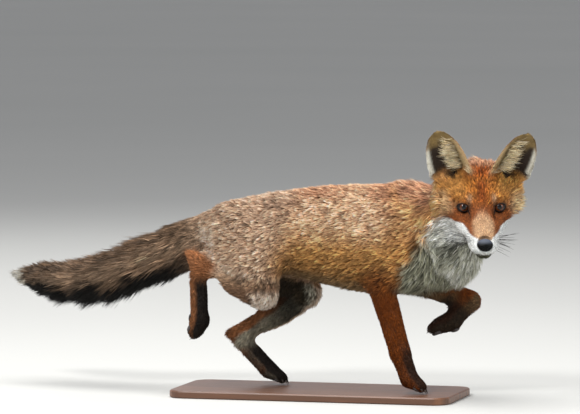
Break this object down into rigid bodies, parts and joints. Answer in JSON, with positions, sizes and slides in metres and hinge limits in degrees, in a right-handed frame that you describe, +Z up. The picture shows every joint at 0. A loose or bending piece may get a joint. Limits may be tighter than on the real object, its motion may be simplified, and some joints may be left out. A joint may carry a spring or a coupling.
{
  "type": "red fox",
  "caption": "Life-size still model of a red fox in mid-stride with its head turned to its right, standing on a flat wooden display base.",
  "frame": {"origin": "middle of the underside of the display base", "axes": "+X forward along the body, +Y to the fox's left, +Z up"},
  "size_m": [0.8966, 0.2467, 0.4345],
  "materials": {
    "red_coat": "soft fur",
    "pale_coat": "soft fur",
    "grizzled_coat": "soft fur",
    "dark_coat": "soft fur",
    "eye": "gloss",
    "nose_leather": "moist, satin",
    "base_wood": "satin"
  },
  "bodies": {
    "root": {"trunk": "red_coat", "neck": "pale_coat", "head": "red_coat", "nose": "nose_leather", "ear_right": "dark_coat", "ear_left": "dark_coat", "eye_right": "eye", "eye_left": "eye", "tail_root": "grizzled_coat", "tail_middle": "grizzled_coat", "tail_tip": "dark_coat", "thigh_right": "grizzled_coat", "thigh_left": "grizzled_coat", "shank_right": "red_coat", "shank_left": "red_coat", "hindfoot_right": "dark_coat", "hindfoot_left": "dark_coat", "forearm_right": "red_coat", "forearm_left": "red_coat", "forefoot_right": "dark_coat", "forefoot_left": "dark_coat", "stand_base": "base_wood"}
  },
  "joints": []
}
